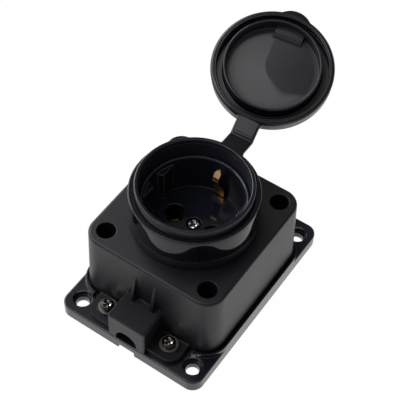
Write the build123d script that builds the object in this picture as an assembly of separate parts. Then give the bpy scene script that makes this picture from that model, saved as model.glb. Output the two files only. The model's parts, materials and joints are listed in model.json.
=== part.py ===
from build123d import *
import math
import os

# Outdoor weatherproof socket on a screw-down plate. Millimetres, +Z out of the wall,
# origin at the middle of the plate's underside, cable entry towards -Y, strap towards +Y.

# Base plate
PLATE_LEDGE = 13.05
PLATE_T = 5.8
PLATE_CORNER_R = 5.2
PLATE_EDGE_R = 0.5
FIXING_INSET_X = 6.74
FIXING_INSET_Y = 7.4
FIXING_HOLE_D = 5.6
FIXING_BORE_D = 8.2
FIXING_BORE_DEPTH = 3.0
RIM_HEIGHT = 2.3
RIM_WALL = 1.0
RIM_GAP = 0.7
RIM_MOUTH_X = 49.0
RIM_END_D = 2.4
NOTCH_WIDTH = 8.0
NOTCH_HEIGHT = 2.4
NOTCH_DEPTH = 12.0

# Housing box
BOX_TOP_X = 64.0
BOX_TOP_Y = 67.2
BOX_HEIGHT = 40.9
BOX_CORNER_R = 8.0
BOX_EDGE_R = 1.1
BOX_DRAFT = 1.7
BOX_WALL = 2.6
BOX_ROOF = 3.0
FOOT_GAP = 0.2

# Corner screws and their bores
CORNER_INSET_X = 7.55
CORNER_INSET_Y = 7.4
CORNER_BORE_D = 8.0
CORNER_TUBE_D = 10.8
CORNER_SEAT_Z = 14.0
CORNER_SEAT_T = 3.0
CORNER_HEAD_D = 6.6
CORNER_HEAD_H = 2.4
CORNER_SHANK_D = 3.5
CORNER_ENGAGE = 6.0
POST_D = 9.0
INSERT_NUT_D = 5.6

# Cable entry block, gussets and ears
BLOCK_WIDTH = 18.2
BLOCK_TOP_Z = 20.4
BLOCK_EDGE_R = 1.0
BLOCK_SETBACK = 0.2
ARCH_WIDTH = 10.2
ARCH_HEIGHT = 7.0
GUSSET_SPACING = 9.4
GUSSET_T = 1.5
GUSSET_TIP = 0.6
GUSSET_DEPTH = 2.9
GUSSET_HEIGHT = 16.0
EAR_REACH_X = 22.4
EAR_T = 2.5
EAR_FRONT_GAP = 2.1
EAR_CORNER_R = 5.5
EAR_SCREW_X = 31.0
EAR_SCREW_FRONT = 8.5
EAR_BOSS_D = 9.0
EAR_BOSS_H = 0.5
EAR_HEAD_D = 5.6
EAR_HEAD_H = 2.1
EAR_SHANK_D = 2.9
WASHER_D = 8.0
WASHER_T = 0.6
EAR_NUT_D = 4.8
EAR_NUT_FLOOR = 1.0

# Collar and lip
LIP_TOP_Z = 62.2
LIP_HEIGHT = 2.3
LIP_STEP = 0.45
LIP_EDGE_R = 0.5
NECK_WALL = 1.2
SNAP_HEIGHT = 1.8
SNAP_DEPTH = 0.35
COLLAR_FLANGE_H = 4.9

# Rubber sleeve, strap and lid
SLEEVE_R = 26.4
SLEEVE_WALL = 2.65
SLEEVE_SEAM = 0.25
SLEEVE_ROOT = 0.4
SLEEVE_EDGE_R = 0.6
SLEEVE_CLEAR = 0.2
BUMP_AZIMUTH = 138.0
BUMP_REACH = 2.4
BUMP_R = 6.2
BUMP_T = 5.0
LOBE_EDGE_R = 0.7
STRAP_WIDTH = 10.3
STRAP_T = 2.0
STRAP_REACH = 7.25
STRAP_END_GAP = 0.2
STRAP_FACE_GAP = 0.35
STRAP_CORNER_R = 0.5
LID_SEAT_GAP = 0.35
LID_CLEAR = 0.45
SKIRT_WALL = 1.5
SKIRT_EDGE_R = 0.4
LID_ROUND_R = 2.2
LID_DRAFT = 0.4
SEAL_GAP = 1.75
SEAL_WALL = 1.1
SEAL_PROUD = 2.4
SEAL_TIP_R = 0.45
LID_CAVITY = 8.8
LID_FLOOR_T = 1.8
TAB_REACH = 2.0
TAB_R = 9.0
TAB_T = 2.4
TAB_AZIMUTH = 1.6
PAD_LENGTH = 13.2
PAD_DEPTH = 3.8
PAD_HEIGHT = 3.0
PAD_SHIFT = 0.4
PAD_EDGE_R = 0.8
OPEN_ANGLE = 160.7
HINGE_YAW = 5.63
HINGE_PITCH = -3.8

# Socket insert
RECESS_TOP_Z = 53.6
RECESS_DEPTH = 17.8
RECESS_TAPER = 0.75
INSERT_WALL = 1.55
INSERT_CLEAR = 0.35
INSERT_FLOOR_T = 3.2
INSERT_FLANGE_T = 2.4
INSERT_CHAMFER = 0.5
GUIDE_DEPTH = 3.05
GUIDE_GROOVE = 5.2
GUIDE_BEVEL_X = 1.75
GUIDE_BEVEL_Y = 1.0
GUIDE_DROP = 2.6
PIN_SPACING = 19.0
PIN_HOLE_D = 9.2
CLAMP_INSET = 1.95
CLAMP_MARGIN = 2.7
CLAMP_SHANK_D = 2.2
CLAMP_HEAD_D = 4.0
CLAMP_HEAD_H = 1.6
CLAMP_ENGAGE = 3.4
CLAMP_SPARE = 0.6
GASKET_T = 0.5
GASKET_INSET = 0.3

# Contacts, earth bracket and carrier
STRIP_T = 0.8
STRIP_WIDTH = 8.0
CLIP_WIDTH = 5.2
CLIP_CORNER_R = 0.8
CLIP_FINGER = 2.75
CLIP_SHOULDER = 5.8
CLIP_BOW = 13.1
CLIP_LEAN = 3.35
CLIP_FLARE = 2.8
CLIP_BEND_R = 2.0
CLIP_TOP_DROP = 1.3
CLIP_WALL_GAP = 0.85
CARRIER_INSET = 1.3
CARRIER_H = 11.0
CARRIER_EDGE = 1.0
CONTACT_D = 7.0
CONTACT_BORE_D = 5.6
CONTACT_DROP = 0.6
CONTACT_EDGE = 0.55
CONTACT_SPLIT = 1.0
CONTACT_CLEAR = 0.15
TAIL_T = 1.2
TERMINAL_SIZE = 6.0
TERMINAL_OFFSET = 9.0
WIRE_HOLE_D = 2.8
TERMINAL_HEAD_D = 4.6
TERMINAL_HEAD_H = 1.4
TERMINAL_SHANK_D = 2.4
CENTRE_HEAD_D = 5.6
CENTRE_HEAD_H = 2.0
CENTRE_SHANK_D = 2.9
CENTRE_DEPTH = 11.0

# Fits shared by the fasteners
HOLE_CLEAR = 0.3
THREAD_CLEAR = 0.05
HEAD_EDGE = 0.45
CROSS_SHARE = 0.56
CROSS_WIDTH_SHARE = 0.17
CROSS_DEPTH_SHARE = 0.55
GROOVE_WIDTH = 1.6
GROOVE_DEPTH = 1.2

# Places that follow from the sizes above
FOOT_Z = PLATE_T + FOOT_GAP
DRAFT_GROWTH = (BOX_HEIGHT - FOOT_Z) * math.tan(math.radians(BOX_DRAFT))
BOX_FOOT_X = BOX_TOP_X + 2 * DRAFT_GROWTH
BOX_FOOT_Y = BOX_TOP_Y + 2 * DRAFT_GROWTH
BOX_FOOT_R = BOX_CORNER_R + DRAFT_GROWTH
PLATE_X = BOX_FOOT_X + 2 * (RIM_GAP + RIM_WALL)
PLATE_Y = BOX_FOOT_Y + 2 * PLATE_LEDGE
FIXING_X = PLATE_X - 2 * FIXING_INSET_X
FIXING_Y = PLATE_Y - 2 * FIXING_INSET_Y
CORNER_X = BOX_TOP_X - 2 * CORNER_INSET_X
CORNER_Y = BOX_TOP_Y - 2 * CORNER_INSET_Y
ROOF_Z = BOX_HEIGHT - BOX_ROOF
FRONT_WALL_Y = -BOX_FOOT_Y / 2
BLOCK_FRONT_Y = -PLATE_Y / 2 + BLOCK_SETBACK
EAR_FRONT_Y = -PLATE_Y / 2 + EAR_FRONT_GAP
EAR_TOP_Z = FOOT_Z + EAR_T
EAR_SEAT_Z = EAR_TOP_Z + EAR_BOSS_H
EAR_SCREW_Y = -PLATE_Y / 2 + EAR_SCREW_FRONT
CORNER_TUBE_Z = CORNER_SEAT_Z - CORNER_SEAT_T
SLEEVE_TOP_Z = LIP_TOP_Z - LIP_HEIGHT - SNAP_HEIGHT
SLEEVE_BORE_R = SLEEVE_R - SLEEVE_WALL
NECK_R = SLEEVE_BORE_R - SLEEVE_CLEAR
LIP_R = NECK_R + LIP_STEP
SNAP_R = NECK_R - SNAP_DEPTH
LIP_BORE_R = NECK_R - NECK_WALL
SKIRT_END_Z = SLEEVE_TOP_Z + LID_SEAT_GAP
SKIRT_BORE_R = LIP_R + LID_CLEAR
SKIRT_R = SKIRT_BORE_R + SKIRT_WALL
SEAL_R = LIP_BORE_R - SEAL_GAP
SEAL_END_Z = SKIRT_END_Z - SEAL_PROUD
LID_FLOOR_Z = SEAL_END_Z + LID_CAVITY
LID_TOP_Z = LID_FLOOR_Z + LID_FLOOR_T
CHANNEL_Z = LIP_TOP_Z + LID_CLEAR
HINGE = Vector(0, SLEEVE_R + STRAP_REACH, SLEEVE_TOP_Z + STRAP_FACE_GAP / 2)
RECESS_FLOOR_Z = RECESS_TOP_Z - RECESS_DEPTH
INSERT_R = LIP_BORE_R - INSERT_CLEAR
RECESS_MOUTH_R = INSERT_R - INSERT_WALL
RECESS_FLOOR_R = RECESS_MOUTH_R - RECESS_TAPER
CLAMP_CIRCLE_R = LIP_BORE_R + CLAMP_INSET
INSERT_FLANGE_R = CLAMP_CIRCLE_R + CLAMP_MARGIN
CARRIER_R = RECESS_FLOOR_R - CARRIER_INSET
INSERT_BASE_Z = RECESS_FLOOR_Z - INSERT_FLOOR_T
FLANGE_TOP_Z = ROOF_Z - GASKET_T
CARRIER_TOP_Z = INSERT_BASE_Z - STRIP_T
CARRIER_BASE_Z = CARRIER_TOP_Z - CARRIER_H
TAIL_BASE_Z = CARRIER_BASE_Z - TAIL_T
TERMINAL_BASE_Z = TAIL_BASE_Z - TERMINAL_SIZE
CLIP_ROOT_Y = RECESS_FLOOR_R - CLIP_WALL_GAP - STRIP_T / 2
CLIP_TOP_Z = RECESS_TOP_Z - CLIP_TOP_DROP
CONTACT_TOP_Z = RECESS_FLOOR_Z - CONTACT_DROP
COLLAR_BASE_Z = BOX_HEIGHT + GASKET_T
COLLAR_SEAM_Z = COLLAR_BASE_Z + COLLAR_FLANGE_H
CLAMP_SEAT_Z = FLANGE_TOP_Z - INSERT_FLANGE_T

FOUR_CORNERS = [(x, y) for y in (-1, 1) for x in (-1, 1)]
CLAMP_SIDE = CLAMP_CIRCLE_R / math.sqrt(2)
BOTTOM = (Align.CENTER, Align.CENTER, Align.MIN)
QUARTER_TURN = 90.0


def rod(diameter, low, high, x=0.0, y=0.0):
    """Upright round bar between two heights."""
    return Pos(x, y, low) * Cylinder(diameter / 2, high - low, align=BOTTOM)


def slab(size_x, size_y, low, high, x=0.0, y=0.0):
    """Upright rectangular block between two heights."""
    return Pos(x, y, low) * Box(size_x, size_y, high - low, align=BOTTOM)


def rounded_slab(size_x, size_y, radius, low, high, draft=0.0):
    """Upright block with rounded plan corners, drawn in towards its top by the draft."""
    outline = Plane.XY.offset(low) * RectangleRounded(size_x, size_y, radius)
    return extrude(outline, high - low, taper=draft)


def turned(points):
    """Solid of revolution about Z from (radius, height) points."""
    outline = make_face(Polyline(*[(r, 0, z) for r, z in points], close=True))
    return revolve(outline, Axis.Z)


def edges_at(solid, z, r_low, r_high):
    """Full circles about Z at one height, between two radii."""
    rings = solid.edges().filter_by(GeomType.CIRCLE)
    return [e for e in rings if abs(e.center().Z - z) < 1e-4 and r_low < e.radius < r_high]


def cross_recess(diameter, height, top, x, y):
    """Cross-head driver recess, cut down from a screw head's top."""
    length = diameter * CROSS_SHARE
    width = diameter * CROSS_WIDTH_SHARE
    depth = height * CROSS_DEPTH_SHARE
    bars = slab(length, width, top - depth, top + height, x, y)
    return bars + slab(width, length, top - depth, top + height, x, y)


def pan_screw(head_d, head_h, shank_d, seat, tip, x, y):
    """Cross-head pan screw, head up, its head resting at the seat height."""
    head = rod(head_d, seat, seat + head_h, x, y)
    head = fillet(head.edges().group_by(Axis.Z)[-1], head_h * HEAD_EDGE)
    head -= cross_recess(head_d, head_h, seat + head_h, x, y)
    return head + rod(shank_d, tip, seat, x, y)


def hung_screw(head_d, head_h, shank_d, seat, tip, x, y):
    """The same screw with its head below the seat, for screws driven from underneath."""
    upright = pan_screw(head_d, head_h, shank_d, 0, seat - tip, x, y)
    return Pos(0, 0, seat) * mirror(upright, about=Plane.XY)


def rim_outline(offset):
    """Block of the housing's foot outline, grown by an offset, up to the rim's top."""
    return rounded_slab(
        BOX_FOOT_X + 2 * offset,
        BOX_FOOT_Y + 2 * offset,
        BOX_FOOT_R + offset,
        PLATE_T - PLATE_EDGE_R,
        PLATE_T + RIM_HEIGHT,
    )


def base_plate():
    plate = rounded_slab(PLATE_X, PLATE_Y, PLATE_CORNER_R, 0, PLATE_T)
    plate = fillet(plate.edges().group_by(Axis.Z)[-1], PLATE_EDGE_R)
    rim = rim_outline(RIM_GAP + RIM_WALL) - rim_outline(RIM_GAP)
    mouth_top = PLATE_T + 2 * RIM_HEIGHT
    rim -= slab(RIM_MOUTH_X, BOX_FOOT_Y / 2, PLATE_T, mouth_top, 0, FRONT_WALL_Y)
    for sx in (-1, 1):
        end_x = sx * (RIM_MOUTH_X + RIM_END_D) / 2
        rim += rod(RIM_END_D, PLATE_T, PLATE_T + RIM_HEIGHT, end_x, FRONT_WALL_Y - RIM_GAP - RIM_WALL)
    plate += rim
    for sx, sy in FOUR_CORNERS:
        plate += rod(POST_D, PLATE_T, CORNER_TUBE_Z, sx * CORNER_X / 2, sy * CORNER_Y / 2)
    for sx, sy in FOUR_CORNERS:
        x, y = sx * FIXING_X / 2, sy * FIXING_Y / 2
        plate -= rod(FIXING_HOLE_D, -PLATE_T, 2 * PLATE_T, x, y)
        plate -= rod(FIXING_BORE_D, PLATE_T - FIXING_BORE_DEPTH, 2 * PLATE_T, x, y)
        low = CORNER_TUBE_Z - CORNER_ENGAGE
        plate -= rod(INSERT_NUT_D, low, 2 * CORNER_TUBE_Z, sx * CORNER_X / 2, sy * CORNER_Y / 2)
    for sx in (-1, 1):
        plate -= rod(EAR_NUT_D, EAR_NUT_FLOOR, 2 * PLATE_T, sx * EAR_SCREW_X / 2, EAR_SCREW_Y)
    plate -= slab(NOTCH_WIDTH, 2 * NOTCH_DEPTH, -NOTCH_HEIGHT, NOTCH_HEIGHT, 0, -PLATE_Y / 2)
    return plate - gasket_ring(PLATE_T - GROOVE_DEPTH, 2 * PLATE_T)


def gasket_ring(low, high):
    """Ring that follows the middle of the housing's wall at its foot."""
    middle = BOX_WALL / 2
    outer = middle - GROOVE_WIDTH / 2
    inner = middle + GROOVE_WIDTH / 2
    rings = [
        rounded_slab(BOX_FOOT_X - 2 * inset, BOX_FOOT_Y - 2 * inset, BOX_FOOT_R - inset, low, high)
        for inset in (outer, inner)
    ]
    return rings[0] - rings[1]


def ear(side):
    """Screw ear beside the cable entry block, rounded at its outer front corner."""
    back = FRONT_WALL_Y + BOX_WALL / 2
    depth = back - EAR_FRONT_Y
    middle_y = (back + EAR_FRONT_Y) / 2
    tongue = slab(EAR_REACH_X, depth, FOOT_Z, EAR_TOP_Z, side * EAR_REACH_X / 2, middle_y)
    outer = tongue.edges().filter_by(Axis.Z).sort_by(Axis.X)
    outer = outer[-2:] if side > 0 else outer[:2]
    tongue = fillet(outer.sort_by(Axis.Y)[0], EAR_CORNER_R)
    return tongue + rod(EAR_BOSS_D, FOOT_Z, EAR_SEAT_Z, side * EAR_SCREW_X / 2, EAR_SCREW_Y)


def gusset(x):
    """Rib from the block's top up the front wall, drawn to a thin point."""
    root = FRONT_WALL_Y + BOX_WALL / 2
    foot = FRONT_WALL_Y + DRAFT_GROWTH / 2 - GUSSET_DEPTH
    top = BLOCK_TOP_Z + GUSSET_HEIGHT
    points = [(root, BLOCK_TOP_Z), (foot, BLOCK_TOP_Z), (root, top)]
    side = make_face(Polyline(*[(x - GUSSET_T / 2, y, z) for y, z in points], close=True))
    wide, thin = GUSSET_T / 2, GUSSET_TIP / 2
    outline = [(x - wide, BLOCK_TOP_Z), (x + wide, BLOCK_TOP_Z), (x + thin, top), (x - thin, top)]
    front = make_face(Polyline(*[(px, foot, pz) for px, pz in outline], close=True))
    return extrude(side, GUSSET_T, dir=(1, 0, 0)) & extrude(front, root - foot, dir=(0, 1, 0))


def cable_block():
    """Entry block between the front wall and the plate's edge, with gussets and ears."""
    back = FRONT_WALL_Y + BOX_WALL / 2
    depth = back - BLOCK_FRONT_Y
    block = slab(BLOCK_WIDTH, depth, FOOT_Z, BLOCK_TOP_Z, 0, back - depth / 2)
    front_face = block.faces().sort_by(Axis.Y)[0]
    top_sides = block.edges().group_by(Axis.Z)[-1].filter_by(Axis.Y)
    front_rim = front_face.edges().sort_by(Axis.Z)[1:]
    block = fillet(front_rim + top_sides, BLOCK_EDGE_R)
    for side in (-1, 1):
        block += ear(side) + gusset(side * GUSSET_SPACING / 2)
    return block


def arch_passage():
    """Round-topped cable passage from the block's front into the box."""
    radius = ARCH_WIDTH / 2
    spring = PLATE_T + ARCH_HEIGHT - radius
    start = BLOCK_FRONT_Y - BLOCK_WIDTH
    length = FRONT_WALL_Y + 2 * BOX_WALL - start
    legs = slab(ARCH_WIDTH, length, 0, spring, 0, start + length / 2)
    crown = Pos(0, start + length / 2, spring) * Rot(QUARTER_TURN, 0, 0) * Cylinder(radius, length)
    return legs + crown


def housing():
    shell = rounded_slab(BOX_FOOT_X, BOX_FOOT_Y, BOX_FOOT_R, FOOT_Z, BOX_HEIGHT, BOX_DRAFT)
    shell = fillet(shell.edges().group_by(Axis.Z)[-1], BOX_EDGE_R)
    inset = 2 * BOX_WALL
    cavity = rounded_slab(
        BOX_FOOT_X - inset, BOX_FOOT_Y - inset, BOX_FOOT_R - BOX_WALL, FOOT_Z, ROOF_Z, BOX_DRAFT
    )
    outside = shell
    shell = shell - cavity
    for sx, sy in FOUR_CORNERS:
        x, y = sx * CORNER_X / 2, sy * CORNER_Y / 2
        shell += rod(CORNER_TUBE_D, CORNER_TUBE_Z, ROOF_Z + BOX_ROOF / 2, x, y) & outside
    shell += cable_block()
    shell -= rod(2 * LIP_BORE_R, ROOF_Z - BOX_ROOF, BOX_HEIGHT + BOX_ROOF)
    shell -= clamp_holes(CLAMP_SHANK_D + HOLE_CLEAR, ROOF_Z, BOX_HEIGHT)
    for sx, sy in FOUR_CORNERS:
        x, y = sx * CORNER_X / 2, sy * CORNER_Y / 2
        shell -= rod(CORNER_BORE_D, CORNER_SEAT_Z, 2 * BOX_HEIGHT, x, y)
        shell -= rod(CORNER_SHANK_D + HOLE_CLEAR, FOOT_Z, BOX_HEIGHT, x, y)
    for sx in (-1, 1):
        shell -= rod(EAR_SHANK_D + HOLE_CLEAR, 0, 2 * EAR_SEAT_Z, sx * EAR_SCREW_X / 2, EAR_SCREW_Y)
    return shell - arch_passage()


def clamp_holes(diameter, low, high):
    """Four upright holes for the screws that clamp insert, roof and collar together."""
    holes = [rod(diameter, low, high, sx * CLAMP_SIDE, sy * CLAMP_SIDE) for sx, sy in FOUR_CORNERS]
    return Part() + holes


def collar():
    lip_base = LIP_TOP_Z - LIP_HEIGHT
    ring = turned([
        (LIP_BORE_R, COLLAR_BASE_Z), (SLEEVE_R, COLLAR_BASE_Z), (SLEEVE_R, COLLAR_SEAM_Z),
        (NECK_R, COLLAR_SEAM_Z), (NECK_R, SLEEVE_TOP_Z), (SNAP_R, SLEEVE_TOP_Z),
        (SNAP_R, lip_base), (LIP_R, lip_base), (LIP_R, LIP_TOP_Z), (LIP_BORE_R, LIP_TOP_Z),
    ])
    ring = fillet(edges_at(ring, LIP_TOP_Z, 0, 2 * LIP_R), LIP_EDGE_R)
    depth = CLAMP_ENGAGE + CLAMP_SPARE
    return ring - clamp_holes(CLAMP_SHANK_D + 2 * THREAD_CLEAR, COLLAR_BASE_Z, COLLAR_BASE_Z + depth)


def flat_gasket(radius, low, high):
    """Flat seal around the clamp screws."""
    ring = rod(2 * radius, low, high) - rod(2 * (LIP_BORE_R + GASKET_INSET), low, high)
    return ring - clamp_holes(CLAMP_SHANK_D + 2 * HOLE_CLEAR, low, high)


def hinge_frame():
    """Plane at the strap's bend: x along the bend line, z close to the part's own Z."""
    yaw, pitch = math.radians(HINGE_YAW), math.radians(HINGE_PITCH)
    along = Vector(math.cos(yaw) * math.cos(pitch), math.sin(yaw) * math.cos(pitch), math.sin(pitch))
    up = Vector(0, 0, 1)
    return Plane(origin=HINGE, x_dir=along, z_dir=up - along * up.dot(along))


def strap_leaf(face, root_r):
    """Half of the strap, along Y from its root to the slanted bend; face +1 for the lid, -1 the sleeve."""
    length = HINGE.Y - root_r * math.cos(math.asin(STRAP_WIDTH / (2 * root_r))) + STRAP_T
    slant = math.tan(math.radians(HINGE_YAW))
    ends = (-STRAP_END_GAP, -STRAP_END_GAP - length)
    near, far = [(slant * end - STRAP_WIDTH / 2, end) for end in ends]
    plan = [near, far, (far[0] + STRAP_WIDTH, far[1]), (near[0] + STRAP_WIDTH, near[1])]
    leaf = extrude(make_face(Polyline(*plan, close=True)), STRAP_T, dir=(0, 0, 1))
    sides = [e for e in leaf.edges() if e.bounding_box().size.Y > length / 2]
    leaf = fillet(sides, STRAP_CORNER_R)
    low = (face * (STRAP_FACE_GAP + STRAP_T) - STRAP_T) / 2
    return hinge_frame().location * Pos(0, 0, low) * leaf


def lobe(wall_r, reach, radius, low, high):
    """Round lobe that stands out from a round wall towards -Y, with softened edges."""
    post = rod(2 * radius, low, high, 0, radius - reach - wall_r)
    post = fillet(post.edges().filter_by(GeomType.CIRCLE), LOBE_EDGE_R)
    return post - rod(2 * (wall_r - reach / 2), low, high)


def sleeve():
    ring = turned([
        (SLEEVE_BORE_R, COLLAR_SEAM_Z), (SLEEVE_R, COLLAR_SEAM_Z),
        (SLEEVE_R, SLEEVE_TOP_Z), (SLEEVE_BORE_R, SLEEVE_TOP_Z),
    ])
    outer = SLEEVE_BORE_R + SLEEVE_EDGE_R
    ring = fillet(edges_at(ring, SLEEVE_TOP_Z, outer, 2 * SLEEVE_R), SLEEVE_EDGE_R)
    ring = chamfer(edges_at(ring, COLLAR_SEAM_Z, outer, 2 * SLEEVE_R), SLEEVE_SEAM)
    leaf = strap_leaf(-1, SLEEVE_R) - rod(2 * (SLEEVE_R - SLEEVE_ROOT), 0, 2 * LIP_TOP_Z)
    leaf -= rod(2 * (SKIRT_R + SLEEVE_ROOT), SLEEVE_TOP_Z, 2 * LIP_TOP_Z)
    bump = lobe(SLEEVE_R, BUMP_REACH, BUMP_R, SLEEVE_TOP_Z - BUMP_T, SLEEVE_TOP_Z)
    return ring + leaf + Rot(0, 0, BUMP_AZIMUTH + QUARTER_TURN) * bump


def lid_shut():
    seal_bore = SEAL_R - SEAL_WALL
    cap = turned([
        (0, LID_FLOOR_Z), (seal_bore, LID_FLOOR_Z), (seal_bore, SEAL_END_Z), (SEAL_R, SEAL_END_Z),
        (SEAL_R, CHANNEL_Z), (SKIRT_BORE_R, CHANNEL_Z), (SKIRT_BORE_R, SKIRT_END_Z),
        (SKIRT_R, SKIRT_END_Z), (SKIRT_R - LID_DRAFT, LID_TOP_Z), (0, LID_TOP_Z),
    ])
    cap = fillet(edges_at(cap, LID_TOP_Z, SEAL_R, 2 * SKIRT_R), LID_ROUND_R)
    cap = fillet(edges_at(cap, SEAL_END_Z, 0, SKIRT_R), SEAL_TIP_R)
    cap = fillet(edges_at(cap, SKIRT_END_Z, SEAL_R, 2 * SKIRT_R), SKIRT_EDGE_R)
    tab = Rot(0, 0, TAB_AZIMUTH) * lobe(SKIRT_R, TAB_REACH, TAB_R, SKIRT_END_Z, SKIRT_END_Z + TAB_T)
    leaf = strap_leaf(1, SKIRT_R)
    inside = rod(2 * SKIRT_BORE_R + SKIRT_WALL, 0, 2 * LID_TOP_Z)
    leaf -= rod(2 * (SLEEVE_R + LID_SEAT_GAP), 0, SKIRT_END_Z)
    cap += (tab - inside) + (leaf - inside)
    front = PAD_DEPTH - seal_bore
    middle = (front - SEAL_R) / 2
    pad = slab(PAD_LENGTH, front + SEAL_R, LID_FLOOR_Z - PAD_HEIGHT, LID_FLOOR_Z, PAD_SHIFT, middle)
    pad = fillet(pad.edges().filter_by(Axis.X).group_by(Axis.Z)[0].sort_by(Axis.Y)[-1], PAD_EDGE_R)
    return cap + (pad & rod(2 * SEAL_R - SEAL_WALL, SEAL_END_Z, LID_TOP_Z))


def lid():
    bend = hinge_frame()
    return lid_shut().rotate(Axis(bend.origin, bend.x_dir), -OPEN_ANGLE)


def guide_pads(side):
    """Flat-faced pads on the recess wall, with a bevelled groove between them."""
    wall_x = side * RECESS_MOUTH_R
    face_x = side * (RECESS_MOUTH_R - GUIDE_DEPTH)
    bevel_x = face_x + side * GUIDE_BEVEL_X
    groove = GUIDE_GROOVE / 2
    face_end = math.sqrt(RECESS_MOUTH_R**2 - face_x**2)
    pads = Part()
    for half in (-1, 1):
        outline = [
            (wall_x, groove), (bevel_x, groove), (face_x, groove + GUIDE_BEVEL_Y),
            (face_x, face_end), (wall_x, face_end),
        ]
        plan = make_face(Polyline(*[(x, half * y, RECESS_FLOOR_Z) for x, y in outline], close=True))
        pads += extrude(plan, RECESS_DEPTH - GUIDE_DROP, dir=(0, 0, 1))
    return pads


def insert():
    cup = turned([
        (0, INSERT_BASE_Z), (INSERT_R, INSERT_BASE_Z), (INSERT_R, CLAMP_SEAT_Z),
        (INSERT_FLANGE_R, CLAMP_SEAT_Z), (INSERT_FLANGE_R, FLANGE_TOP_Z),
        (INSERT_R, FLANGE_TOP_Z), (INSERT_R, RECESS_TOP_Z), (RECESS_MOUTH_R, RECESS_TOP_Z),
        (RECESS_FLOOR_R, RECESS_FLOOR_Z), (0, RECESS_FLOOR_Z),
    ])
    cup = chamfer(edges_at(cup, RECESS_TOP_Z, 0, 2 * INSERT_R), INSERT_CHAMFER)
    for side in (-1, 1):
        wall = rod(2 * RECESS_MOUTH_R, RECESS_FLOOR_Z - INSERT_FLOOR_T / 2, RECESS_TOP_Z)
        cup += guide_pads(side) & wall
    for side in (-1, 1):
        x = side * PIN_SPACING / 2
        cup -= rod(PIN_HOLE_D, INSERT_BASE_Z, RECESS_FLOOR_Z, x)
        slot_x, slot_y = CLIP_WIDTH + 2 * HOLE_CLEAR, STRIP_T + 2 * HOLE_CLEAR
        cup -= slab(slot_x, slot_y, INSERT_BASE_Z, RECESS_FLOOR_Z, 0, side * CLIP_ROOT_Y)
    cup -= clamp_holes(CLAMP_SHANK_D + HOLE_CLEAR, CLAMP_SEAT_Z, FLANGE_TOP_Z)
    cup -= rod(CENTRE_SHANK_D + HOLE_CLEAR, INSERT_BASE_Z, RECESS_FLOOR_Z)
    cup -= rod(CENTRE_HEAD_D + 2 * HOLE_CLEAR, RECESS_FLOOR_Z - CENTRE_HEAD_H, RECESS_FLOOR_Z)
    return cup


def clip_arm(side):
    """Spring arm of the earth bracket: an upright strip that narrows to a finger bowed inwards."""
    low = CARRIER_TOP_Z
    shoulder = RECESS_FLOOR_Z + CLIP_SHOULDER
    bow = RECESS_FLOOR_Z + CLIP_BOW
    root, lean = CLIP_ROOT_Y, CLIP_ROOT_Y - CLIP_LEAN
    centre = [(root, low), (root, shoulder), (lean, bow), (lean + CLIP_FLARE, CLIP_TOP_Z)]
    half = STRIP_T / 2
    outline = [(y - half, z) for y, z in centre] + [(y + half, z) for y, z in reversed(centre)]
    wide = STRIP_WIDTH / 2
    side_view = make_face(Polyline(*[(-wide, side * y, z) for y, z in outline], close=True))
    strip = extrude(side_view, STRIP_WIDTH, dir=(1, 0, 0))
    bends = [e for e in strip.edges().filter_by(Axis.X) if low + half < e.center().Z < CLIP_TOP_Z - half]
    strip = fillet(bends, CLIP_BEND_R)
    depth = 2 * RECESS_MOUTH_R
    tip = CLIP_TOP_Z - CLIP_FINGER / 2
    front = slab(CLIP_WIDTH, depth, low, shoulder)
    front = fillet(front.edges().group_by(Axis.Z)[-1].filter_by(Axis.Y), CLIP_CORNER_R)
    front += slab(CLIP_FINGER, depth, low, tip)
    front += Pos(0, 0, tip) * Rot(QUARTER_TURN, 0, 0) * Cylinder(CLIP_FINGER / 2, depth)
    return strip & front


def earth_bracket():
    strip = slab(STRIP_WIDTH, 2 * CLIP_ROOT_Y + STRIP_T, CARRIER_TOP_Z, INSERT_BASE_Z)
    for side in (-1, 1):
        strip += clip_arm(side)
    tail = slab(STRIP_WIDTH / 2, STRIP_WIDTH / 2, TAIL_BASE_Z, CARRIER_TOP_Z, 0, TERMINAL_OFFSET)
    strip += tail + terminal_block(0, TERMINAL_OFFSET)
    strip -= rod(CENTRE_SHANK_D + HOLE_CLEAR, CARRIER_TOP_Z, INSERT_BASE_Z)
    return strip - screw_hole(0, TERMINAL_OFFSET)


def terminal_block(x, y):
    """Brass terminal under the carrier with its wire hole along Y."""
    block = slab(TERMINAL_SIZE, TERMINAL_SIZE, TERMINAL_BASE_Z, TAIL_BASE_Z, x, y)
    middle = (TERMINAL_BASE_Z + TAIL_BASE_Z) / 2
    return block - Pos(x, y, middle) * Rot(QUARTER_TURN, 0, 0) * Cylinder(WIRE_HOLE_D / 2, 2 * TERMINAL_SIZE)


def screw_hole(x, y):
    """Threaded hole of a terminal, from below to the wire hole."""
    middle = (TERMINAL_BASE_Z + TAIL_BASE_Z) / 2
    return rod(TERMINAL_SHANK_D + 2 * THREAD_CLEAR, TERMINAL_BASE_Z, middle, x, y)


def pin_contact(side):
    """Split contact tube under a pin hole, with its tail and terminal."""
    x = side * PIN_SPACING / 2
    y = -TERMINAL_OFFSET
    tube = rod(CONTACT_D, CARRIER_BASE_Z, CONTACT_TOP_Z, x)
    tube = chamfer(tube.edges().group_by(Axis.Z)[-1], CONTACT_EDGE)
    tube -= rod(CONTACT_BORE_D, CARRIER_BASE_Z, CONTACT_TOP_Z, x)
    tube -= slab(CONTACT_SPLIT, 2 * CONTACT_D, CARRIER_BASE_Z + CONTACT_D / 2, CONTACT_TOP_Z, x)
    length = TERMINAL_OFFSET + TERMINAL_SIZE / 2 + CONTACT_D / 2
    tail = slab(TERMINAL_SIZE, length, TAIL_BASE_Z, CARRIER_BASE_Z, x, CONTACT_D / 2 - length / 2)
    return tube + tail + terminal_block(x, y) - screw_hole(x, y)


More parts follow.
